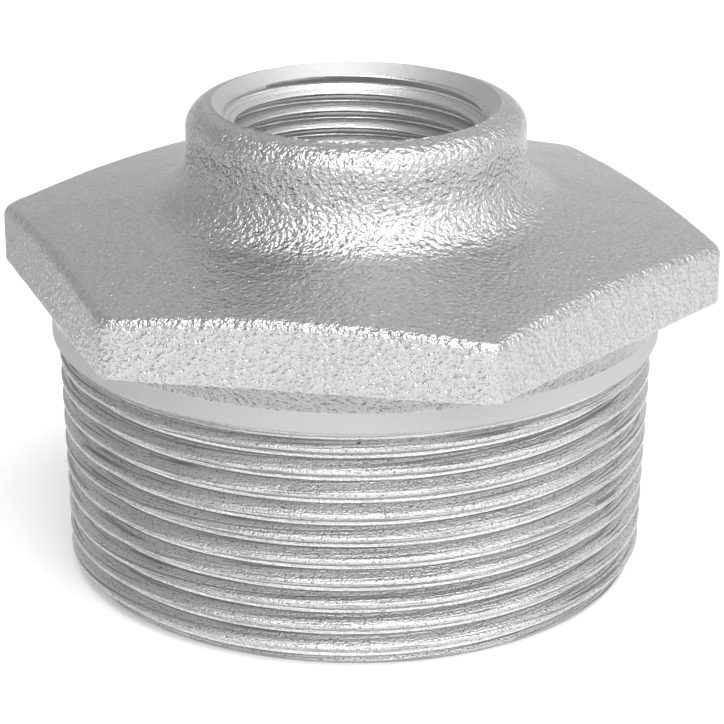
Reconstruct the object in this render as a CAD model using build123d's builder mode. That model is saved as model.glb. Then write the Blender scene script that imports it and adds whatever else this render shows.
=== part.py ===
from build123d import *

import os
from math import atan, cos, degrees, pi, radians, sin, tan

# Hexagon reducing bushing in galvanised malleable iron, cast in one piece and then threaded:
# male taper pipe thread R 2 below, female pipe thread Rp 3/4 through the raised collar.
# Millimetres, +Z up the axis towards the female end, origin at the centre of the male end face.
# Two corners of the hexagon lie on the X axis.
# The male thread is cut as one right-hand helical groove with a sharp root and flat crests.
# The female thread is a fine thread and isn't cut: its hole is the cylinder of the thread's crests.
# The collar's two roundings are turned as short cones, within 0.1 of the round.

# ---- hexagon and collar ----
total_height = 48.0
hexagon_bottom = 29.0
hexagon_top = 36.0            # top edge at the middle of a flat
across_flats = 64.0
corner_radius = 2.0           # upright edges of the hexagon
edge_break = 0.5              # chamfer on the top edge of the hexagon
shoulder_slope = 0.2          # rise of the conical shoulder for each millimetre towards the axis
collar_radius = 17.1
collar_foot_radius = 5.5
collar_foot_steps = 5

# ---- neck between thread and hexagon ----
neck_radius = 30.7
neck_bottom = 23.8

# ---- male thread, R 2: 11 threads to the inch, taper 1:16 on the diameter ----
male_pitch = 25.4 / 11
male_taper = 1 / 32           # of the radius
male_gauge_radius = 59.614 / 2
male_gauge_height = 15.9
male_thread_top = 22.5        # where the cone of the crests ends
male_end_chamfer = 1.5
male_groove_phase = 1.5       # height of the groove's root on the +X side, in the first turn
male_full_turns = 8.9
male_run_out_turns = 0.8      # turns in which the groove climbs out of the metal
thread_depth = 0.6403 * male_pitch
crest_land = male_pitch / 6

# ---- female thread, Rp 3/4 ----
female_crest_radius = 24.117 / 2
mouth_radius = 14.36          # outer edge of the mouth's 45 degree chamfer
collar_rim_radius = collar_radius - mouth_radius
collar_rim_steps = 3

# ---- hollow of the male end ----
hollow_radius = 23.3
hollow_roof_height = 31.0

# ---- allowances for cutting ----
past_face = 1.0               # a hollow's profile beyond the face that it opens through
past_crest = 0.3              # the thread groove's section beyond the crests
turn_overlap = 0.02           # the run-out starts this much of a turn inside the full groove


def crest_radius(height):
    """Radius of the cone of the male thread's crests."""
    return male_gauge_radius + (height - male_gauge_height) * male_taper


def shoulder_height(radius):
    """Height of the cone between the hexagon and the collar."""
    return hexagon_top + (across_flats / 2 - radius) * shoulder_slope


def round_points(centre, radius, start, end, steps):
    """Points on an arc from one angle to another, in radians from the outward direction."""
    angles = [start + (end - start) * i / steps for i in range(steps + 1)]
    return [(centre[0] + radius * cos(a), centre[1] + radius * sin(a)) for a in angles]


def thread_groove(start_turn, turns, root_slope):
    """The groove of the male thread, from a turn on; its root widens by root_slope as it climbs."""
    start_height = male_groove_phase + start_turn * male_pitch
    section_depth = thread_depth + past_crest
    mouth_half = (male_pitch - crest_land) / 2 * section_depth / thread_depth
    with BuildPart() as groove:
        with BuildLine():
            path = Helix(
                pitch=male_pitch,
                height=turns * male_pitch,
                radius=crest_radius(start_height) - thread_depth,
                center=(0, 0, start_height),
                cone_angle=degrees(atan(root_slope)),
            )
        with BuildSketch(Plane(origin=path @ 0, x_dir=(1, 0, 0), z_dir=path % 0)):
            with BuildLine():
                Polyline((0, 0), (section_depth, -mouth_half), (section_depth, mouth_half), close=True)
            make_face()
        sweep(is_frenet=True)
    return groove.part.rotate(Axis.Z, 360 * start_turn)


# The groove enters through the end face, one turn below the first one inside the metal
run_out_start = male_full_turns - 1 - turn_overlap
run_out_slope = male_taper + thread_depth / (male_run_out_turns * male_pitch)
full_groove = thread_groove(-1, male_full_turns, male_taper)
run_out_groove = thread_groove(run_out_start, male_run_out_turns, run_out_slope)

# Roundings of the collar: the foot runs from the shoulder to the collar, the rim from the collar to the mouth
shoulder_lean = atan(shoulder_slope)
foot_centre = (
    collar_radius + collar_foot_radius,
    shoulder_height(collar_radius + collar_foot_radius) + collar_foot_radius / cos(shoulder_lean),
)
foot = round_points(foot_centre, collar_foot_radius, 3 * pi / 2 - shoulder_lean, pi, collar_foot_steps)
rim_centre = (collar_radius - collar_rim_radius, total_height - collar_rim_radius)
rim = round_points(rim_centre, collar_rim_radius, 0, pi / 2, collar_rim_steps)

axis_line = Edge.make_line((0, 0, 0), (0, 0, total_height))
blank_radius = across_flats / 2 / cos(radians(30))

with BuildPart() as hex_bushing:
    # hexagonal bar with rounded corners
    with BuildSketch(Plane.XY.offset(hexagon_bottom)):
        RegularPolygon(radius=across_flats / 2, side_count=6, major_radius=False)
        fillet(vertices(), radius=corner_radius)
    extrude(amount=total_height - hexagon_bottom)

    # the bar turned down to the shoulder, the collar's foot, the collar and its rim
    with BuildSketch(Plane.XZ):
        with BuildLine():
            Polyline(
                (0, hexagon_bottom),
                (blank_radius, hexagon_bottom),
                (blank_radius, shoulder_height(blank_radius)),
                *foot,
                *rim,
                (0, total_height),
                close=True,
            )
        make_face()
    revolve(axis=Axis.Z, mode=Mode.INTERSECT)

    # top edge of the hexagon: all edges on its outside that are above its flats' middle and aren't upright
    outside = edges().filter_by(lambda edge: edge.distance_to(axis_line) > across_flats / 2 - 0.01)
    top_edge = outside.filter_by(lambda edge: abs((edge % 0.5).Z) < 0.5 and (edge @ 0.5).Z > hexagon_top - 3)
    chamfer(top_edge, length=edge_break)

    # male end and neck
    with BuildSketch(Plane.XZ):
        with BuildLine():
            Polyline(
                (0, 0),
                (crest_radius(0) - male_end_chamfer, 0),
                (crest_radius(male_end_chamfer), male_end_chamfer),
                (crest_radius(male_thread_top), male_thread_top),
                (neck_radius, neck_bottom),
                (neck_radius, hexagon_bottom + past_face),
                (0, hexagon_bottom + past_face),
                close=True,
            )
        make_face()
    revolve(axis=Axis.Z)

    # hollow of the male end, under a flat roof
    with BuildSketch(Plane.XZ):
        with BuildLine():
            Polyline(
                (0, -past_face),
                (hollow_radius, -past_face),
                (hollow_radius, hollow_roof_height),
                (0, hollow_roof_height),
                close=True,
            )
        make_face()
    revolve(axis=Axis.Z, mode=Mode.SUBTRACT)

    # hole of the female thread and the chamfer of its mouth
    with BuildSketch(Plane.XZ):
        with BuildLine():
            Polyline(
                (0, hollow_roof_height - past_face),
                (female_crest_radius, hollow_roof_height - past_face),
                (female_crest_radius, total_height + female_crest_radius - mouth_radius),
                (mouth_radius, total_height),
                (0, total_height),
                close=True,
            )
        make_face()
    revolve(axis=Axis.Z, mode=Mode.SUBTRACT)

    # male thread
    add(full_groove, mode=Mode.SUBTRACT)
    add(run_out_groove, mode=Mode.SUBTRACT)

hex_bushing.part.label = "hex_bushing"

os.makedirs("parts", exist_ok=True)
export_step(hex_bushing.part, "parts/hex_bushing.step")
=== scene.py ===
"""A hexagon reducing bushing: one galvanised iron casting with a male and a female pipe thread."""

import math

import bpy
from bpy.props import FloatProperty, FloatVectorProperty, IntProperty, PointerProperty
from bpy.types import Operator, Panel, PropertyGroup
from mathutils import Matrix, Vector


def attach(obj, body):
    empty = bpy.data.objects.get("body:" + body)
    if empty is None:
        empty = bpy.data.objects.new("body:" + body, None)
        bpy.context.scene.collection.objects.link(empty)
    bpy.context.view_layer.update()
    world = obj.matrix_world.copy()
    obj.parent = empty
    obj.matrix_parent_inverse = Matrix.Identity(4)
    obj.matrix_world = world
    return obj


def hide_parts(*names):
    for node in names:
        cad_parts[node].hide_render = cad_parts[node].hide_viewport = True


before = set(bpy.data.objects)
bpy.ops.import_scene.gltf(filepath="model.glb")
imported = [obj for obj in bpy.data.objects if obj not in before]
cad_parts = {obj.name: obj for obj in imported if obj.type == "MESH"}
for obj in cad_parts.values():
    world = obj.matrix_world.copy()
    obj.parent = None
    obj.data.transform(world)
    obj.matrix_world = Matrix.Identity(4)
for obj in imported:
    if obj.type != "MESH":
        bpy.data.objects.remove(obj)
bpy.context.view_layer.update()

bl_info = {
    "name": "Hex Bushing",
    "version": (1, 0, 0),
    "blender": (4, 5, 0),
    "location": "View3D > Sidebar > Hex Bushing",
    "description": "Builds a hexagon reducing bushing with cut pipe threads, and its stage",
    "category": "Add Mesh",
}

MM = 0.001
NODE = "hex_bushing"

# The kind of node that does arithmetic
MATH = "ShaderNodeMath"

# How a row of the skin is finished; a cut row also winds along its thread
CAST = 0
TURNED = 1
MALE = 2
FEMALE = 3

# Pipe thread form in pitches: flanks 55 degrees apart between flat crests and roots with rounded corners
FLANK_ANGLE = math.radians(27.5)
THREAD_LAND = 1 / 6
CREST_ROUND = 0.11
ROOT_ROUND = 0.05
THREAD_DEPTH = (0.5 - THREAD_LAND) / math.tan(FLANK_ANGLE)

# Inputs of the skin's node tree, each a length but for the taper
SKIN_SIZES = (
    "Half Across Flats", "Corner Radius", "Total Height", "Mouth Radius", "Hollow Roof", "Casting Sink",
    "Male Pitch", "Male Gauge Radius", "Male Gauge Height", "Male Taper", "Male Phase", "Male Full Top",
    "Male Top", "Male End Radius", "Female Pitch", "Female Crest Radius", "Female Phase", "Female Top",
)

# How much closer columns stand at the hexagon's corners: 0 is evenly spaced, 1 is all together
CORNER_CROWDING = 0.72
# Unevenness of the cast skin: which noise, and how wide its waves are
CASTING_SEED = 3.0
CASTING_WAVE = 6 * MM
# Corners of faces closer than this become one, which closes the skin
MERGE_DISTANCE = 0.002 * MM
# Edges that turn by more than this stay sharp
SHARP_EDGE = math.radians(38)
# Radius of the rows that wind along a thread, which the node tree replaces
WINDING_RADIUS = 20 * MM

# Light of the room, where a strength of 1 is white
WALL_LEVEL = 0.87
WALL_LIGHTER_ON_RIGHT = 0.22
WALL_DARKER_ON_LEFT = 0.12
CEILING_DARKER = 0.14
FLOOR_GLOW = 0.10

# Each lamp's name, azimuth, elevation, distance, width, height and power
LAMPS = (
    ("lamp_front", 24, 55, 0.60, 0.62, 0.66, 4.30),
    ("lamp_right", 90, 44, 0.60, 0.50, 0.40, 0.45),
)
LAMP_TARGET = 0.03
FLOOR_HALF = 1.5

# Grey card of painted shade: where its two ends stand on the floor's plan, and its lower and upper edge
CARD_NEAR = (-0.120, -0.060)
CARD_FAR = (-0.038, 0.075)
CARD_BOTTOM = 0.001
CARD_TOP = 0.035


def corner_reach(rounding):
    """Where a rounded corner of the thread form starts and ends, in pitches from the middle of its land."""
    start = THREAD_LAND / 2 - rounding * math.tan((math.pi / 2 - FLANK_ANGLE) / 2)
    return start, start + rounding * math.cos(FLANK_ANGLE)


def length(name, description, millimetres):
    """A length that a user can change, with its default given in millimetres."""
    return FloatProperty(
        name=name, description=description, default=millimetres * MM, unit="LENGTH", precision=5
    )


def colour(name, description, hex_value):
    """A colour that a user can change, with its default given as an sRGB hex value."""
    return FloatVectorProperty(
        name=name, description=description, default=linear(hex_value), size=3, subtype="COLOR", min=0, max=1
    )


def linear(hex_value):
    """The linear colour of an sRGB hex value."""
    channels = [int(hex_value[i:i + 2], 16) / 255 for i in (0, 2, 4)]
    return [c / 12.92 if c <= 0.04045 else ((c + 0.055) / 1.055) ** 2.4 for c in channels]


# ---------------------------------------------------------------- sizes and colours


class HexBushingSizes(PropertyGroup):
    """Sizes of the casting and its threads."""

    total_height: length("Total height", "Male end face to the top of the collar", 48.0)
    across_flats: length("Across flats", "Width of the hexagon", 64.0)
    corner_radius: length("Corner radius", "Rounding of the hexagon's upright edges", 2.0)
    edge_radius: length("Edge radius", "Rounding of the hexagon's top edge", 1.25)
    under_edge_radius: length("Lower edge radius", "Rounding of the hexagon's bottom edge", 0.4)
    hexagon_bottom: length("Hexagon bottom", "Height of the hexagon's lower face", 29.0)
    hexagon_top: length("Hexagon top", "Height of the top edge at the middle of a flat", 36.0)
    shoulder_slope: FloatProperty(
        name="Shoulder slope", description="Rise of the shoulder towards the collar", default=0.2
    )
    collar_radius: length("Collar radius", "Outside of the collar", 17.1)
    foot_radius: length("Foot radius", "Hollow rounding between shoulder and collar", 5.5)
    rim_radius: length("Rim radius", "Rounding of the collar's rim", 2.6)
    mouth_radius: length("Mouth radius", "Outer edge of the mouth's chamfer", 14.36)
    neck_radius: length("Neck radius", "Turned band above the male thread", 30.7)
    neck_bottom: length("Neck bottom", "Where the turned band starts", 24.9)
    strip_bottom: length("Cast strip bottom", "Where the strip left as cast starts", 26.9)
    strip_radius: length("Cast strip radius", "Strip left as cast, where it meets the hexagon", 31.4)
    hollow_radius: length("Hollow radius", "Inside of the male end", 23.3)
    hollow_roof: length("Hollow roof", "Height of the hollow's flat roof", 31.0)
    hollow_rounding: length("Hollow rounding", "Rounding between the hollow's wall and roof", 3.5)
    casting_sink: length("Casting sink", "How far the cast skin sinks at most", 0.28)
    columns: IntProperty(name="Columns", description="Faces round the bushing", default=252, min=60)


class HexBushingThreads(PropertyGroup):
    """Sizes of the two pipe threads."""

    male_pitch: length("Male pitch", "11 threads to the inch", 25.4 / 11)
    male_gauge_radius: length("Male gauge radius", "Crests of the male thread at the gauge", 59.614 / 2)
    male_gauge_height: length("Male gauge height", "Gauge plane above the male end", 15.9)
    male_taper: FloatProperty(
        name="Male taper", description="Growth of the radius with height", default=1 / 32, precision=5
    )
    male_phase: length("Male phase", "Height of a crest on the +X side", 0.347)
    male_full_top: length("Full thread top", "Where the male thread starts to run out", 22.4)
    male_top: length("Male thread top", "Where the male thread has run out", 24.5)
    male_end_radius: length("Male end radius", "Edge of the male end face", 27.8)
    female_pitch: length("Female pitch", "14 threads to the inch", 25.4 / 14)
    female_crest_radius: length("Female crest radius", "Smallest radius of the female thread", 24.117 / 2)
    female_phase: length("Female phase", "Height of a crest on the +X side", 1.107)


class HexBushingFinish(PropertyGroup):
    """Colours of the metal."""

    zinc: colour("Zinc", "Galvanised cast skin", "BBBBBB")
    # darker zinc: grain tone in the pits, and painted shade on the strip under the hexagon
    dull_zinc: colour("Dull zinc", "Pits and sheltered parts of the cast skin", "9C9C9C")
    turned: colour("Turned iron", "Turned faces", "BABABA")
    cut: colour("Cut iron", "Crests and flanks of the threads", "C8C8C8")
    # painted highlight: near-white on the thread roots stands in for light caught there
    root: colour("Bright iron", "Roots of the threads", "F0F0F0")
    # also the tone of the painted shade lines on either side of each root
    scored: colour("Scored iron", "Score lines of the threads", "868686")


class HexBushingStage(PropertyGroup):
    """Floor, the grey card that puts painted shade into the metal's reflections, and camera."""

    floor: colour("Floor", "Pale floor", "F6F6F6")
    # painted shade: the grey that the metal mirrors on its left side
    card: colour("Card", "Grey card that the metal mirrors", "C2C2C2")
    camera_elevation: FloatProperty(
        name="Camera elevation", description="Angle above the horizon", default=math.radians(20.411),
        unit="ROTATION",
    )
    camera_azimuth: FloatProperty(
        name="Camera azimuth", description="Turn from the -Y side towards +X", default=math.radians(9.70),
        unit="ROTATION",
    )
    camera_distance: length("Camera distance", "From the camera to the point that it faces", 302.5)
    camera_target: length("Camera target", "Height of the point that the camera faces", 24.0)
    camera_lens: FloatProperty(name="Lens", description="Focal length, millimetres", default=147.72, min=1)
    camera_roll: FloatProperty(
        name="Roll", description="Turn about the line of sight", default=math.radians(0.253), unit="ROTATION"
    )
    camera_shift_x: FloatProperty(
        name="Shift sideways", description="Sideways shift in picture widths", default=0.00906, precision=5
    )
    camera_shift_y: FloatProperty(
        name="Shift upwards", description="Upward shift in picture widths", default=-0.04817, precision=5
    )


# ---------------------------------------------------------------- node trees


def add_node(tree, kind, inputs=None, **settings):
    """Adds a node, makes its settings, and fills its inputs with values or links."""
    node = tree.nodes.new(kind)
    for name, value in settings.items():
        setattr(node, name, value)
    for key, value in (inputs or {}).items():
        value = getattr(value, "socket", value)
        if isinstance(value, bpy.types.NodeSocket):
            tree.links.new(value, node.inputs[key])
        else:
            node.inputs[key].default_value = value
    return node


class Number:
    """A number inside a node tree; what is worked out from it adds nodes to the tree."""

    def __init__(self, tree, socket):
        self.tree = tree
        self.socket = socket

    def through(self, kind, *others, **settings):
        """This number, and any others, through one more node."""
        inputs = dict(enumerate((self, *others)))
        return Number(self.tree, add_node(self.tree, kind, inputs, **settings).outputs[0])

    def __add__(self, other):
        return self.through(MATH, other, operation="ADD")

    def __sub__(self, other):
        return self.through(MATH, other, operation="SUBTRACT")

    def __rsub__(self, other):
        return self * -1.0 + other

    def __mul__(self, other):
        return self.through(MATH, other, operation="MULTIPLY")

    def __truediv__(self, other):
        return self.through(MATH, other, operation="DIVIDE")

    def __abs__(self):
        return self.through(MATH, operation="ABSOLUTE")

    def within(self, low, high):
        """This number, but no lower than one number and no higher than another."""
        return self.through(MATH, low, operation="MAXIMUM").through(MATH, high, operation="MINIMUM")

    def where(self, test, other):
        """This number where test is 1, and the other where it is 0."""
        return (self - other) * test + other

    __radd__ = __add__
    __rmul__ = __mul__


# ---------------------------------------------------------------- section of the casting


class Section:
    """The rows of the skin in order round the section at the middle of a flat.

    Each row is marked with what the skin does there: reach is how much of the hexagon's growth it takes,
    drop how far it sinks for that growth, cast 1 where the skin is uneven, and dull how much
    painted shade darkens the zinc under the hexagon.
    """

    MARKS = ("reach", "drop", "cast", "dull", "finish")

    def __init__(self):
        self.points = []
        self.marks = {name: [] for name in self.MARKS}

    def row(self, radius, height, finish=CAST, reach=0.0, drop=0.0, cast=None, dull=0.0):
        """Adds a row. finish is that of the faces from this row to the next."""
        self.points.append((radius, 0.0, height))
        values = (reach, drop, float(finish == CAST) if cast is None else cast, dull, finish)
        for name, value in zip(self.MARKS, values):
            self.marks[name].append(float(value))

    def line(self, start, end, steps, **marks):
        """Rows from start up to, but without, end."""
        for i in range(steps):
            t = i / steps
            self.row(start[0] + (end[0] - start[0]) * t, start[1] + (end[1] - start[1]) * t, **marks)

    def arc(self, centre, radius, start, end, steps, **marks):
        """Rows on an arc, from one angle to another, in degrees up from the outward direction."""
        for i in range(steps + 1):
            angle = math.radians(start + (end - start) * i / steps)
            self.row(centre[0] + radius * math.cos(angle), centre[1] + radius * math.sin(angle), **marks)

    def thread_rows(self, thread, phase, pitch, bottom, top, upward):
        """Rows that wind along a thread, from one pitch below its bottom to its top."""
        rows = []
        for turn in range(math.floor((bottom - phase) / pitch) - 1, math.ceil((top - phase) / pitch) + 1):
            for fraction in THREAD_ROWS[thread]:
                height = phase + (turn + fraction) * pitch
                if bottom - pitch < height < top:
                    rows.append(height)
        rows = sorted([bottom - pitch, *rows, top], reverse=not upward)
        for height in rows:
            self.row(WINDING_RADIUS, height, finish=thread)

    def to_mesh(self):
        """The rows as a mesh of loose points, with their marks as attributes."""
        mesh = bpy.data.meshes.new("section")
        mesh.from_pydata(self.points, [], [])
        for name, values in self.marks.items():
            mesh.attributes.new(name, "FLOAT", "POINT").data.foreach_set("value", values)
        return mesh


# Where rows stand within one pitch, from crest to crest: close on the roundings, wide on the flanks
CREST_START, CREST_END = corner_reach(CREST_ROUND)
ROOT_START, ROOT_END = corner_reach(ROOT_ROUND)
MALE_HALF = (CREST_START, 0.05, 0.085, CREST_END, 0.25, 0.5 - ROOT_END, 0.5 - ROOT_START)
FEMALE_HALF = (CREST_START, 0.065, CREST_END, 0.5 - ROOT_END, 0.5 - ROOT_START)
THREAD_ROWS = {
    MALE: MALE_HALF + tuple(1 - fraction for fraction in reversed(MALE_HALF)),
    FEMALE: FEMALE_HALF + tuple(1 - fraction for fraction in reversed(FEMALE_HALF)),
}


def casting_section(sizes, threads):
    """The section of the bushing at the middle of a flat, once round from the male end's inner edge."""
    flat = sizes.across_flats / 2
    slope = sizes.shoulder_slope
    lean = math.atan(slope)
    section = Section()

    # male end face, and the thread that winds up from it
    inner_break = 0.35 * MM
    section.row(sizes.hollow_radius + inner_break, 0, finish=TURNED)
    section.line((sizes.hollow_radius + 1 * MM, 0), (threads.male_end_radius, 0), 3, finish=TURNED)
    section.thread_rows(MALE, threads.male_phase, threads.male_pitch, 0.0, threads.male_top, upward=True)

    # neck: a ramp up to the turned band, then the strip left as cast
    crest_top = male_crest_radius(threads, threads.male_top)
    section.line((crest_top, threads.male_top + 0.05 * MM), (sizes.neck_radius, sizes.neck_bottom), 2,
                 finish=TURNED)
    section.line((sizes.neck_radius, sizes.neck_bottom), (sizes.neck_radius, sizes.strip_bottom), 5,
                 finish=TURNED)
    # painted shade: the strip under the hexagon and its lower face get darker zinc, fading in at the strip's
    # foot
    section.row(sizes.neck_radius, sizes.strip_bottom, cast=0.0, dull=0.4)
    under = sizes.under_edge_radius
    section.line((sizes.neck_radius + 0.15 * MM, sizes.strip_bottom + 0.1 * MM),
                 (sizes.strip_radius, sizes.hexagon_bottom - 0.1 * MM), 4, dull=1.0)

    # hexagon: lower face, lower edge, flat, top edge
    strip_end = sizes.strip_radius + 0.05 * MM
    section.row(strip_end, sizes.hexagon_bottom, dull=1.0)
    for reach in (0.25, 0.5, 0.75):
        section.row(strip_end + reach * 0.1 * MM, sizes.hexagon_bottom, reach=reach, dull=1.0)
    section.arc((flat - under, sizes.hexagon_bottom + under), under, -90, 0, 4, reach=1.0)
    edge = sizes.edge_radius
    edge_centre = (flat - edge, sizes.hexagon_top + edge * slope - edge / math.cos(lean))
    wall_rows = 9
    for i in range(1, wall_rows):
        t = i / wall_rows
        low = sizes.hexagon_bottom + under
        section.row(flat, low + (edge_centre[1] - low) * t, reach=1.0, drop=slope * t)
    section.arc(edge_centre, edge, 0, 90 - math.degrees(lean), 6, reach=1.0, drop=slope)

    # shoulder, the collar's foot, the collar and its rim
    foot = sizes.foot_radius
    foot_centre = (sizes.collar_radius + foot,
                   sizes.hexagon_top + (flat - sizes.collar_radius - foot) * slope + foot / math.cos(lean))
    foot_start = (foot_centre[0] - foot * math.sin(lean), foot_centre[1] - foot * math.cos(lean))
    edge_end = (edge_centre[0] + edge * math.sin(lean), edge_centre[1] + edge * math.cos(lean))
    shoulder_rows = 12
    for i in range(1, shoulder_rows):
        t = i / shoulder_rows
        section.row(edge_end[0] + (foot_start[0] - edge_end[0]) * t,
                    edge_end[1] + (foot_start[1] - edge_end[1]) * t, reach=1.0 - t, drop=slope)
    section.arc(foot_centre, foot, 270 - math.degrees(lean), 180, 10)
    rim = sizes.rim_radius
    section.line((sizes.collar_radius, foot_centre[1] + 0.3 * MM),
                 (sizes.collar_radius, sizes.total_height - rim), 3)
    section.arc((sizes.collar_radius - rim, sizes.total_height - rim), rim, 0, 88, 8)

    # mouth: chamfer, then the female thread down to the hollow's roof
    section.row(sizes.mouth_radius, sizes.total_height, finish=TURNED, cast=0.0)
    chamfer_depth = threads.female_pitch * THREAD_DEPTH
    thread_start = sizes.total_height - sizes.mouth_radius + threads.female_crest_radius + chamfer_depth
    section.line((sizes.mouth_radius - 0.2 * MM, sizes.total_height - 0.2 * MM),
                 (threads.female_crest_radius + chamfer_depth, thread_start), 3, finish=TURNED)
    section.thread_rows(FEMALE, threads.female_phase, threads.female_pitch, sizes.hollow_roof, thread_start,
                        upward=False)

    # hollow: flat roof, rounded corner, wall
    roof_edge = threads.female_crest_radius + chamfer_depth + 0.25 * MM
    rounding = sizes.hollow_rounding
    corner = (sizes.hollow_radius - rounding, sizes.hollow_roof - rounding)
    section.line((roof_edge, sizes.hollow_roof), (corner[0], sizes.hollow_roof), 4)
    section.arc(corner, rounding, 90, 0, 6)
    section.line((sizes.hollow_radius, corner[1] - 1 * MM), (sizes.hollow_radius, inner_break), 10)
    section.row(sizes.hollow_radius, inner_break, finish=TURNED, cast=0.0)
    section.row(sizes.hollow_radius + inner_break, 0, finish=TURNED)
    return section


def male_crest_radius(threads, height):
    """Radius of the male thread's crests at a height."""
    return threads.male_gauge_radius + (height - threads.male_gauge_height) * threads.male_taper


# ---------------------------------------------------------------- rule of the skin


def thread_form(away):
    """Height of a pipe thread's surface over its crest in pitches, 0 or less; away is from the crest."""
    flank = (away - THREAD_LAND / 2) * (-1 / math.tan(FLANK_ANGLE))
    start, end = corner_reach(CREST_ROUND)
    off_crest = (away - start).within(0.0, end - start)
    crest = (CREST_ROUND ** 2 - off_crest * off_crest).through(MATH, operation="SQRT") - CREST_ROUND
    form = crest.where(away.through(MATH, end, operation="LESS_THAN"), flank)
    start, end = corner_reach(ROOT_ROUND)
    off_root = (0.5 - start - away).within(0.0, end - start)
    arc = (ROOT_ROUND ** 2 - off_root * off_root).through(MATH, operation="SQRT")
    root = ROOT_ROUND - THREAD_DEPTH - arc
    return root.where(away.through(MATH, 0.5 - end, operation="GREATER_THAN"), form)


def from_crest(height, turn, phase, pitch):
    """How far the nearest crest of a right-hand thread is, in pitches."""
    return abs(((height - phase) / pitch - turn + 0.5).through(MATH, operation="FRACT") - 0.5)


def hexagon_growth(angle, half_width, rounding):
    """How much further out a rounded hexagon is than at the middle of its flats. Corners at 0, 60 ..."""
    sixth = math.pi / 3
    off_middle = abs((angle / sixth).through(MATH, operation="FRACT") * sixth - sixth / 2)
    flat = half_width / off_middle.through(MATH, operation="COSINE")
    off_corner = sixth / 2 - off_middle
    arc_centre = (half_width - rounding) / math.cos(sixth / 2)
    across = arc_centre * off_corner.through(MATH, operation="SINE")
    along = arc_centre * off_corner.through(MATH, operation="COSINE")
    inside = (rounding * rounding - across * across).through(MATH, 0.0, operation="MAXIMUM")
    arc = inside.through(MATH, operation="SQRT") + along
    tangent = (half_width - rounding) / half_width * math.tan(sixth / 2)
    tangent_angle = sixth / 2 - tangent.through(MATH, operation="ARCTANGENT")
    return arc.where(off_corner.through(MATH, tangent_angle, operation="LESS_THAN"), flat) - half_width


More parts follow.
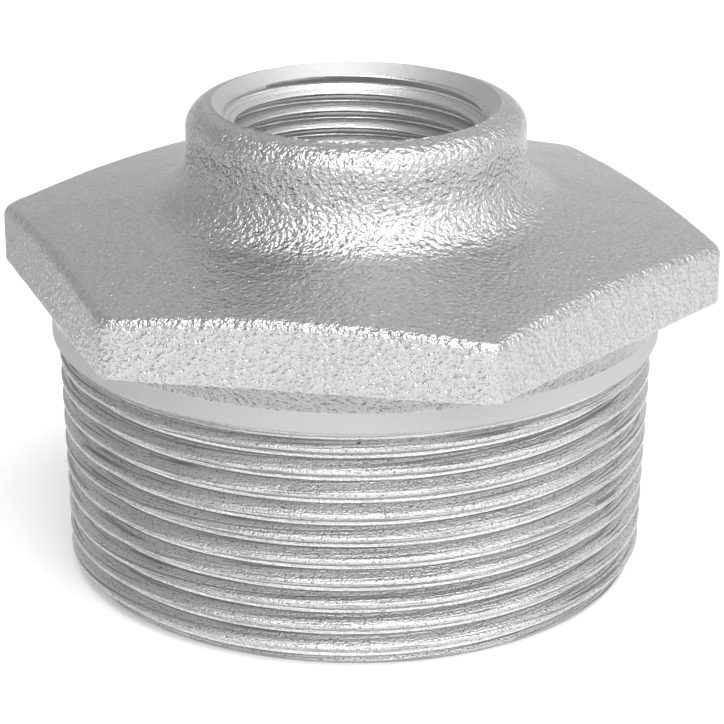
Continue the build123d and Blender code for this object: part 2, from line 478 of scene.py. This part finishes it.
def skin_tree(finishes):
    """Node tree that turns the section's rows into the whole skin: round, hexagonal or threaded."""
    tree = bpy.data.node_groups.new("Threaded hexagon bushing", "GeometryNodeTree")
    tree.interface.new_socket("Section", in_out="INPUT", socket_type="NodeSocketGeometry")
    tree.interface.new_socket("Skin", in_out="OUTPUT", socket_type="NodeSocketGeometry")
    tree.interface.new_socket("Columns", in_out="INPUT", socket_type="NodeSocketInt")
    for name in SKIN_SIZES:
        tree.interface.new_socket(name, in_out="INPUT", socket_type="NodeSocketFloat")
    group = add_node(tree, "NodeGroupInput")
    section = group.outputs["Section"]
    size = {name: Number(tree, group.outputs[name]) for name in SKIN_SIZES}

    # a flat grid: one column for each step round the bushing, one row for each row of the section
    rows = add_node(tree, "GeometryNodeAttributeDomainSize", {"Geometry": section}, component="MESH")
    last_row = Number(tree, rows.outputs["Point Count"]) - 1.0
    around = Number(tree, group.outputs["Columns"]) + 1.0
    grid = add_node(tree, "GeometryNodeMeshGrid", {
        "Size X": 1.0, "Size Y": 1.0, "Vertices X": around, "Vertices Y": rows.outputs["Point Count"],
    })
    position = add_node(tree, "GeometryNodeInputPosition").outputs[0]
    place = add_node(tree, "ShaderNodeSeparateXYZ", {0: position})
    share = Number(tree, place.outputs["X"]) + 0.5
    row = (Number(tree, place.outputs["Y"]) + 0.5) * last_row

    def of_row(name, index):
        """A mark of the section at a row."""
        mark = add_node(tree, "GeometryNodeInputNamedAttribute", {"Name": name}, data_type="FLOAT")
        return Number(tree, add_node(
            tree, "GeometryNodeSampleIndex",
            {"Geometry": section, "Value": mark.outputs["Attribute"], "Index": index},
            data_type="FLOAT", domain="POINT").outputs["Value"])

    nearest = row.through(MATH, operation="ROUND")
    section_place = add_node(
        tree, "GeometryNodeSampleIndex",
        {"Geometry": section, "Value": position, "Index": nearest},
        data_type="FLOAT_VECTOR", domain="POINT")
    section_xyz = add_node(tree, "ShaderNodeSeparateXYZ", {0: section_place.outputs["Value"]})
    section_radius = Number(tree, section_xyz.outputs["X"])
    section_height = Number(tree, section_xyz.outputs["Z"])
    finish = of_row("finish", nearest)
    is_male = 1.0 - abs(finish - float(MALE)).through(MATH, 1.0, operation="MINIMUM")
    is_female = 1.0 - abs(finish - float(FEMALE)).through(MATH, 1.0, operation="MINIMUM")

    # columns stand closer together at the corners of the hexagon
    corners = 12 * math.pi
    turn = share - (share * corners).through(MATH, operation="SINE") * (CORNER_CROWDING / corners)
    angle = turn * (2 * math.pi)

    # plain and hexagonal rows
    growth = hexagon_growth(angle, size["Half Across Flats"], size["Corner Radius"])
    growth = of_row("reach", nearest) * growth
    plain_radius = section_radius + growth
    plain_height = section_height - growth * of_row("drop", nearest)

    # male thread: its rows wind upwards and end at the end face and at the top of the run-out
    male_height = section_height + turn * size["Male Pitch"]
    male_height = male_height.within(0.0, size["Male Top"])
    away = from_crest(male_height, turn, size["Male Phase"], size["Male Pitch"])
    run_out = (male_height - size["Male Full Top"]) / (size["Male Top"] - size["Male Full Top"])
    run_out = run_out.within(0.0, 1.0)
    deepest = (run_out - 1.0) * (size["Male Pitch"] * THREAD_DEPTH)
    cut = (thread_form(away) * size["Male Pitch"]).through(MATH, deepest, operation="MAXIMUM")
    crests = size["Male Gauge Radius"] + (male_height - size["Male Gauge Height"]) * size["Male Taper"]
    end_chamfer = size["Male End Radius"] + male_height
    male_radius = (crests + cut).through(MATH, end_chamfer, operation="MINIMUM")

    # female thread: cut outwards, and opened by the mouth's chamfer
    female_height = section_height + turn * size["Female Pitch"]
    female_height = female_height.within(size["Hollow Roof"], size["Female Top"])
    away = from_crest(female_height, turn, size["Female Phase"], size["Female Pitch"])
    female_cut = size["Female Crest Radius"] - thread_form(away) * size["Female Pitch"]
    mouth_chamfer = size["Mouth Radius"] + female_height - size["Total Height"]
    female_radius = female_cut.through(MATH, mouth_chamfer, operation="MAXIMUM")

    radius = female_radius.where(is_female, male_radius.where(is_male, plain_radius))
    height = female_height.where(is_female, male_height.where(is_male, plain_height))
    wrapped = add_node(tree, "ShaderNodeCombineXYZ", {
        "X": radius * angle.through(MATH, operation="COSINE"),
        "Y": radius * angle.through(MATH, operation="SINE"),
        "Z": height,
    })

    # the marks are kept before the grid is wrapped round
    kept = grid.outputs["Mesh"]
    for mark in ("cast", "dull"):
        kept = add_node(tree, "GeometryNodeStoreNamedAttribute", {
            "Geometry": kept, "Name": mark, "Value": of_row(mark, nearest),
        }, data_type="FLOAT", domain="POINT").outputs["Geometry"]
    kept = add_node(tree, "GeometryNodeStoreNamedAttribute", {
        "Geometry": kept, "Name": "finish", "Value": of_row("finish", row.through(MATH, operation="FLOOR")),
    }, data_type="FLOAT", domain="FACE")
    skin = add_node(tree, "GeometryNodeSetPosition", {
        "Geometry": kept.outputs["Geometry"], "Position": wrapped.outputs["Vector"],
    })
    closed = add_node(tree, "GeometryNodeMergeByDistance", {
        "Geometry": skin.outputs["Geometry"], "Distance": MERGE_DISTANCE,
    })

    # the cast skin sinks a little here and there, as it left the sand
    cast = add_node(tree, "GeometryNodeInputNamedAttribute", {"Name": "cast"}, data_type="FLOAT")
    waves = add_node(tree, "ShaderNodeTexNoise", {
        "Scale": 1 / CASTING_WAVE, "Detail": 1.5, "W": CASTING_SEED,
    }, noise_dimensions="4D")
    push = Number(tree, waves.outputs[0]) * size["Casting Sink"]
    push = push * Number(tree, cast.outputs["Attribute"]) * -1.0
    offset = add_node(tree, "ShaderNodeVectorMath", {
        0: add_node(tree, "GeometryNodeInputNormal").outputs[0], "Scale": push,
    }, operation="SCALE")
    uneven = add_node(tree, "GeometryNodeSetPosition", {
        "Geometry": closed.outputs["Geometry"], "Offset": offset.outputs["Vector"],
    })

    # smooth everywhere but on edges sharper than the threads' roundings
    corner = Number(tree, add_node(tree, "GeometryNodeInputMeshEdgeAngle").outputs["Unsigned Angle"])
    is_sharp = corner.through(MATH, SHARP_EDGE, operation="GREATER_THAN")
    smooth = add_node(tree, "GeometryNodeSetShadeSmooth", {
        "Geometry": uneven.outputs["Geometry"], "Shade Smooth": True,
    }, domain="FACE")
    smooth = add_node(tree, "GeometryNodeSetShadeSmooth", {
        "Geometry": smooth.outputs["Geometry"], "Selection": is_sharp, "Shade Smooth": False,
    }, domain="EDGE")

    shaded = add_node(tree, "GeometryNodeRealizeInstances", {"Geometry": smooth.outputs["Geometry"]})
    finish = add_node(tree, "GeometryNodeInputNamedAttribute", {"Name": "finish"}, data_type="FLOAT")
    for index, material in finishes.items():
        off = abs(Number(tree, finish.outputs["Attribute"]) - float(index))
        chosen = 1.0 - off.through(MATH, 1.0, operation="MINIMUM")
        shaded = add_node(tree, "GeometryNodeSetMaterial", {
            "Geometry": shaded.outputs["Geometry"], "Selection": chosen, "Material": material,
        })
    add_node(tree, "NodeGroupOutput", {"Skin": shaded.outputs["Geometry"]})
    return tree


def skin_sizes(sizes, threads):
    """What each named input of the skin's node tree is set to."""
    female_depth = threads.female_pitch * THREAD_DEPTH
    return {
        "Columns": sizes.columns,
        "Half Across Flats": sizes.across_flats / 2,
        "Corner Radius": sizes.corner_radius,
        "Total Height": sizes.total_height,
        "Mouth Radius": sizes.mouth_radius,
        "Hollow Roof": sizes.hollow_roof,
        "Casting Sink": sizes.casting_sink,
        "Male Pitch": threads.male_pitch,
        "Male Gauge Radius": threads.male_gauge_radius,
        "Male Gauge Height": threads.male_gauge_height,
        "Male Taper": threads.male_taper,
        "Male Phase": threads.male_phase,
        "Male Full Top": threads.male_full_top,
        "Male Top": threads.male_top,
        "Male End Radius": threads.male_end_radius,
        "Female Pitch": threads.female_pitch,
        "Female Crest Radius": threads.female_crest_radius,
        "Female Phase": threads.female_phase,
        "Female Top": sizes.total_height - sizes.mouth_radius + threads.female_crest_radius + female_depth,
    }


# ---------------------------------------------------------------- materials


def new_material(name):
    """An empty node material, its tree, and its Principled shader, already linked to the output."""
    material = bpy.data.materials.new(name)
    material.use_nodes = True
    tree = material.node_tree
    tree.nodes.clear()
    shader = add_node(tree, "ShaderNodeBsdfPrincipled")
    add_node(tree, "ShaderNodeOutputMaterial", {"Surface": shader.outputs[0]})
    return material, tree, shader


def zinc_cast_skin(finish):
    """Hot-dip galvanised sand casting: dull grey metal whose pebbly grain throws small sparks of light."""
    material, tree, shader = new_material("galvanised_cast_skin")
    place = add_node(tree, "ShaderNodeTexCoord").outputs["Object"]
    grain_width, grain_depth = 0.46 * MM, 0.36 * MM
    lump_width, lump_depth = 1.5 * MM, 0.22 * MM
    bead_spacing, bead_share, bead_steepness, bead_height = 1.05 * MM, 0.14, 6.0, 0.16 * MM
    patch_width = 5 * MM

    # 1 where the skin lies level and the zinc ran smooth, 0 from a slope of about 37 degrees on
    normal = add_node(tree, "ShaderNodeNewGeometry").outputs["Normal"]
    facing = add_node(tree, "ShaderNodeSeparateXYZ", {0: normal})
    level = ((Number(tree, facing.outputs["Z"]) - 0.80) / 0.16).within(0.0, 1.0)
    coarse = 1.0 - level * 0.38

    # grain of the sand, on wider lumps; both are flatter where the skin lies level
    grain = add_node(tree, "ShaderNodeTexNoise", {
        "Vector": place, "Scale": 1 / grain_width, "Detail": 2.0, "Roughness": 0.5,
    })
    lumps = add_node(tree, "ShaderNodeTexNoise", {"Vector": place, "Scale": 1 / lump_width, "Detail": 1.0})

    # small beads of zinc, 0.3 mm across, where the spelter ran off
    beads = add_node(tree, "ShaderNodeTexVoronoi", {"Vector": place, "Scale": 1 / bead_spacing})
    bead = bead_share - Number(tree, beads.outputs["Distance"])
    bead = bead.through(MATH, 0.0, operation="MAXIMUM") * bead_steepness

    height = (Number(tree, grain.outputs[0]) - 0.5) * coarse * grain_depth
    height = height + (Number(tree, lumps.outputs[0]) - 0.5) * coarse * lump_depth + bead * bead_height
    bump = add_node(tree, "ShaderNodeBump", {"Height": height, "Distance": 1.0, "Strength": 1.0})

    # zinc lies duller from patch to patch
    patches = add_node(tree, "ShaderNodeTexNoise", {
        "Vector": place, "Scale": 1 / patch_width, "Detail": 4.0,
    })
    roughness = Number(tree, patches.outputs[0]) * 0.12 + level * 0.10 + 0.13

    # the pits of the grain hold darker zinc as grain tone, and the strip under the hexagon holds it as
    # painted shade
    pit = ((0.56 - Number(tree, grain.outputs[0])) / 0.22).within(0.0, 1.0)
    dull = Number(tree, add_node(tree, "ShaderNodeAttribute", attribute_name="dull").outputs["Fac"])
    dulled = (pit * 0.4 + dull * 0.8).through(MATH, 1.0, operation="MINIMUM")
    tone = add_node(tree, "ShaderNodeMix", {
        "Factor": dulled, "A": (*finish.zinc, 1), "B": (*finish.dull_zinc, 1),
    }, data_type="RGBA")
    tree.links.new(tone.outputs["Result"], shader.inputs["Base Color"])
    shader.inputs["Metallic"].default_value = 1.0
    tree.links.new(roughness.socket, shader.inputs["Roughness"])
    tree.links.new(bump.outputs[0], shader.inputs["Normal"])
    return material


def turned_iron(finish):
    """Iron turned on a lathe and galvanised: a satin grey, plainer than the skin, lined round the axis."""
    material, tree, shader = new_material("turned_iron")
    place = add_node(tree, "ShaderNodeTexCoord").outputs["Object"]
    line_spacing, line_length, line_depth = 0.22 * MM, 14 * MM, 0.03 * MM
    film_width, film_depth = 0.9 * MM, 0.05 * MM

    # lines left by the lathe; real ones are finer, and these are as coarse as they need to be to show
    xyz = add_node(tree, "ShaderNodeSeparateXYZ", {0: place})
    x, y, z = (Number(tree, xyz.outputs[i]) for i in range(3))
    out = (x * x + y * y).through(MATH, operation="SQRT")
    lathe = add_node(tree, "ShaderNodeCombineXYZ", {
        0: x / line_length, 1: y / line_length, 2: (z + out) / line_spacing,
    })
    lines = add_node(tree, "ShaderNodeTexNoise", {"Vector": lathe.outputs[0], "Scale": 1.0, "Detail": 2.0})

    # the film of zinc is a little uneven
    film = add_node(tree, "ShaderNodeTexNoise", {"Vector": place, "Scale": 1 / film_width, "Detail": 2.0})
    height = Number(tree, lines.outputs[0]) * line_depth + Number(tree, film.outputs[0]) * film_depth
    bump = add_node(tree, "ShaderNodeBump", {"Height": height, "Distance": 1.0, "Strength": 1.0})
    shader.inputs["Base Color"].default_value = (*finish.turned, 1)
    shader.inputs["Metallic"].default_value = 1.0
    shader.inputs["Roughness"].default_value = 0.62
    tree.links.new(bump.outputs[0], shader.inputs["Normal"])
    return material


def cut_iron(name, finish, pitch, crest_height, coarse):
    """Iron cut with a die or a tap: bright metal scored along the thread, nicked where chips tore off.

    coarse is 1 for the full roughness and for the darkest scores, and less for a smoother cut.
    """
    material, tree, shader = new_material(name)
    place = add_node(tree, "ShaderNodeTexCoord").outputs["Object"]
    score_spacing, score_length, score_drift, score_depth = 0.12 * MM, 8 * MM, 5 * MM, 0.09 * MM
    nick_width, nick_depth = 0.5 * MM, 0.25 * MM
    grit_width, grit_depth = 0.20 * MM, 0.10 * MM

    # score lines keep their place on the thread's form all the way along its helix; they and the grit
    # are drawn coarser and deeper than a real cut, as they would be too fine to show
    xyz = add_node(tree, "ShaderNodeSeparateXYZ", {0: place})
    x, y, z = (Number(tree, xyz.outputs[i]) for i in range(3))
    phase = (z - crest_height) * (2 * math.pi / pitch) - y.through(MATH, x, operation="ARCTAN2")
    crest_or_root = phase.through(MATH, operation="COSINE")
    reach = pitch / score_spacing / (2 * math.pi)
    along = add_node(tree, "ShaderNodeCombineXYZ", {
        0: crest_or_root * reach + x / score_length,
        1: phase.through(MATH, operation="SINE") * reach + y / score_length,
        2: z / score_drift,
    })
    scores = add_node(tree, "ShaderNodeTexNoise", {
        "Vector": along.outputs[0], "Scale": 1.0, "Detail": 2.0, "Roughness": 0.5,
    })
    nicks = add_node(tree, "ShaderNodeTexNoise", {"Vector": place, "Scale": 1 / nick_width, "Detail": 3.0})
    torn = (Number(tree, nicks.outputs[0]) - 0.58).through(MATH, 0.0, operation="MAXIMUM")
    grit = add_node(tree, "ShaderNodeTexNoise", {"Vector": place, "Scale": 1 / grit_width, "Detail": 1.0})
    height = Number(tree, scores.outputs[0]) * score_depth + torn * nick_depth
    height = height + Number(tree, grit.outputs[0]) * grit_depth
    bump = add_node(tree, "ShaderNodeBump", {"Height": height * coarse, "Distance": 1.0, "Strength": 1.0})

    # the root carries a painted highlight, with a painted shade line on each side; deep scores and grit are
    # dark too
    off_root = crest_or_root + 1.0
    root_highlight = ((0.12 - off_root) / 0.04).within(0.0, 1.0)
    # painted shade: a dark line along each side of the root
    line = (1.0 - abs(off_root - 0.21) / 0.10).through(MATH, 0.0, operation="MAXIMUM")
    speck = (0.42 - Number(tree, grit.outputs[0])) / 0.08
    dark = (0.46 - Number(tree, scores.outputs[0])) / 0.10
    dark = dark.through(MATH, speck, operation="MAXIMUM").through(MATH, line, operation="MAXIMUM")
    dark = dark.through(MATH, 1.0, operation="MINIMUM")
    tone = add_node(tree, "ShaderNodeMix", {
        "Factor": dark * coarse, "A": (*finish.cut, 1), "B": (*finish.scored, 1),
    }, data_type="RGBA")
    tone = add_node(tree, "ShaderNodeMix", {
        "Factor": root_highlight, "A": tone.outputs["Result"], "B": (*finish.root, 1),
    }, data_type="RGBA")

    # the flanks are duller than crest and root
    flank = ((0.85 - abs(crest_or_root)) / 0.25).within(0.0, 1.0)
    roughness = flank * 0.12 + 0.27
    tree.links.new(tone.outputs["Result"], shader.inputs["Base Color"])
    shader.inputs["Metallic"].default_value = 1.0
    tree.links.new(roughness.socket, shader.inputs["Roughness"])
    tree.links.new(bump.outputs[0], shader.inputs["Normal"])
    return material


# ---------------------------------------------------------------- operators


def applied(thing):
    """The plain mesh that an object's modifiers make of it; the modifiers are removed."""
    shaped = thing.evaluated_get(bpy.context.evaluated_depsgraph_get())
    mesh = bpy.data.meshes.new_from_object(shaped)
    thing.modifiers.clear()
    thing.data = mesh
    return thing


class HEXBUSHING_OT_body(Operator):
    """Makes the bushing: the casting with both of its threads cut"""

    bl_idname = "hex_bushing.body"
    bl_label = "Bushing"

    def execute(self, context):
        scene = context.scene
        sizes, threads, finish = scene.hex_bushing_sizes, scene.hex_bushing_threads, scene.hex_bushing_finish
        body = bpy.data.objects.new("bushing_body", casting_section(sizes, threads).to_mesh())
        scene.collection.objects.link(body)
        tree = skin_tree({
            CAST: zinc_cast_skin(finish),
            TURNED: turned_iron(finish),
            MALE: cut_iron("die_cut_iron", finish, threads.male_pitch, threads.male_phase, 1.0),
            FEMALE: cut_iron("tap_cut_iron", finish, threads.female_pitch, threads.female_phase, 0.4),
        })
        skin = body.modifiers.new("Skin", "NODES")
        skin.node_group = tree
        inputs = [item for item in tree.interface.items_tree if item.in_out == "INPUT"]
        identifiers = {item.name: item.identifier for item in inputs}
        for name, value in skin_sizes(sizes, threads).items():
            skin[identifiers[name]] = value
        applied(body)
        body.data.name = "bushing_body"
        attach(body, "root")
        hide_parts(NODE)
        return {"FINISHED"}


class HEXBUSHING_OT_stage(Operator):
    """Sets out the floor, the lamps, the world and the camera"""

    bl_idname = "hex_bushing.stage"
    bl_label = "Stage"

    def execute(self, context):
        scene = context.scene
        stage = scene.hex_bushing_stage
        lay_floor(scene, stage)
        hang_lamps(scene)
        light_world(scene)
        stand_card(scene, stage)
        place_camera(scene, stage)
        scene.view_settings.view_transform = "Standard"
        return {"FINISHED"}


def lay_floor(scene, stage):
    """A wide pale floor of matt board that shows white and keeps the bushing's shadow."""
    corners = [(-FLOOR_HALF, -FLOOR_HALF, 0), (FLOOR_HALF, -FLOOR_HALF, 0),
               (FLOOR_HALF, FLOOR_HALF, 0), (-FLOOR_HALF, FLOOR_HALF, 0)]
    mesh = bpy.data.meshes.new("floor")
    mesh.from_pydata(corners, [], [(0, 1, 2, 3)])
    floor = bpy.data.objects.new("floor", mesh)
    scene.collection.objects.link(floor)
    material, tree, shader = new_material("pale_matt_board")
    path = add_node(tree, "ShaderNodeLightPath")
    seen = Number(tree, path.outputs["Is Camera Ray"])
    seen = seen + path.outputs["Is Glossy Ray"] + path.outputs["Is Transmission Ray"]
    glow = seen.through(MATH, 1.0, operation="MINIMUM") * FLOOR_GLOW
    shader.inputs["Base Color"].default_value = (*stage.floor, 1)
    shader.inputs["Roughness"].default_value = 0.9
    shader.inputs["Specular IOR Level"].default_value = 0.0
    shader.inputs["Emission Color"].default_value = (1, 1, 1, 1)
    tree.links.new(glow.socket, shader.inputs["Emission Strength"])
    mesh.materials.append(material)


def stand_card(scene, stage):
    """A grey card at the left and a little behind: painted shade that the metal mirrors, and nothing else
    shows.
    """
    corners = [(*CARD_FAR, CARD_BOTTOM), (*CARD_NEAR, CARD_BOTTOM),
               (*CARD_NEAR, CARD_TOP), (*CARD_FAR, CARD_TOP)]
    mesh = bpy.data.meshes.new("reflected_shade_card")
    mesh.from_pydata(corners, [], [(0, 1, 2, 3)])
    card = bpy.data.objects.new("reflected_shade_card", mesh)
    scene.collection.objects.link(card)
    material, _, shader = new_material("reflected_shade_board")
    shader.inputs["Base Color"].default_value = (*stage.card, 1)
    shader.inputs["Roughness"].default_value = 0.9
    mesh.materials.append(material)
    card.visible_camera = False
    card.visible_diffuse = False
    card.visible_shadow = False


def hang_lamps(scene):
    """Soft lamps round the bushing; each is named for where it hangs."""
    for name, azimuth, elevation, distance, width, height, power in LAMPS:
        data = bpy.data.lights.new(name, "AREA")
        data.shape = "RECTANGLE"
        data.size = width
        data.size_y = height
        data.energy = power
        lamp = bpy.data.objects.new(name, data)
        scene.collection.objects.link(lamp)
        aim(lamp, azimuth, elevation, distance, LAMP_TARGET)


def aim(thing, azimuth, elevation, distance, height):
    """Puts a lamp or camera round the bushing, facing a point on its axis. Azimuth 0 is the -Y side."""
    a, e = math.radians(azimuth), math.radians(elevation)
    target = Vector((0, 0, height))
    away = Vector((math.sin(a) * math.cos(e), -math.cos(a) * math.cos(e), math.sin(e)))
    thing.location = target + away * distance
    thing.rotation_euler = away.to_track_quat("Z", "Y").to_euler()


def light_world(scene):
    """A studio with pale walls, lighter on the right than on the left, under a greyer ceiling."""
    world = bpy.data.worlds.new("studio")
    world.use_nodes = True
    tree = world.node_tree
    tree.nodes.clear()
    direction = add_node(tree, "ShaderNodeTexCoord").outputs["Generated"]
    way = add_node(tree, "ShaderNodeSeparateXYZ", {0: direction})
    across = Number(tree, way.outputs["X"])
    up = Number(tree, way.outputs["Z"]).through(MATH, 0.0, operation="MAXIMUM")
    level = WALL_LEVEL + across * WALL_LIGHTER_ON_RIGHT - up * up * CEILING_DARKER
    level = level + across.through(MATH, 0.0, operation="MINIMUM") * WALL_DARKER_ON_LEFT
    room = add_node(tree, "ShaderNodeBackground", {"Color": (1, 1, 1, 1), "Strength": level})
    add_node(tree, "ShaderNodeOutputWorld", {"Surface": room.outputs[0]})
    scene.world = world


def place_camera(scene, stage):
    """A long lens a little above the bushing, in front of one of its flats."""
    data = bpy.data.cameras.new("camera")
    data.lens = stage.camera_lens
    data.sensor_width = 36.0
    data.shift_x = stage.camera_shift_x
    data.shift_y = stage.camera_shift_y
    data.clip_start = 0.01
    camera = bpy.data.objects.new("camera", data)
    scene.collection.objects.link(camera)
    azimuth, elevation = math.degrees(stage.camera_azimuth), math.degrees(stage.camera_elevation)
    aim(camera, azimuth, elevation, stage.camera_distance, stage.camera_target)
    camera.rotation_euler.rotate_axis("Z", stage.camera_roll)
    scene.camera = camera


class HEXBUSHING_PT_panel(Panel):
    """The bushing's builders and sizes in the 3D view's sidebar"""

    bl_label = "Hex Bushing"
    bl_idname = "HEXBUSHING_PT_panel"
    bl_space_type = "VIEW_3D"
    bl_region_type = "UI"
    bl_category = "Hex Bushing"

    def draw(self, context):
        for operator in OPERATORS:
            self.layout.operator(operator.bl_idname)
        for group in GROUPS:
            box = self.layout.box()
            settings = getattr(context.scene, group)
            for name in settings.bl_rna.properties.keys():
                if name not in ("name", "rna_type"):
                    box.prop(settings, name)


OPERATORS = (HEXBUSHING_OT_body, HEXBUSHING_OT_stage)
GROUPS = {
    "hex_bushing_sizes": HexBushingSizes,
    "hex_bushing_threads": HexBushingThreads,
    "hex_bushing_finish": HexBushingFinish,
    "hex_bushing_stage": HexBushingStage,
}


def register():
    """Registers the settings, the operators and the panel."""
    for kind in (*GROUPS.values(), *OPERATORS, HEXBUSHING_PT_panel):
        bpy.utils.register_class(kind)
    for name, kind in GROUPS.items():
        setattr(bpy.types.Scene, name, PointerProperty(type=kind))


def unregister():
    """Removes what register added."""
    for name in GROUPS:
        delattr(bpy.types.Scene, name)
    for kind in (HEXBUSHING_PT_panel, *OPERATORS, *GROUPS.values()):
        bpy.utils.unregister_class(kind)


def main():
    """Builds the bushing on its stage."""
    register()
    bpy.ops.hex_bushing.body()
    bpy.ops.hex_bushing.stage()


if __name__ == "__main__":
    main()
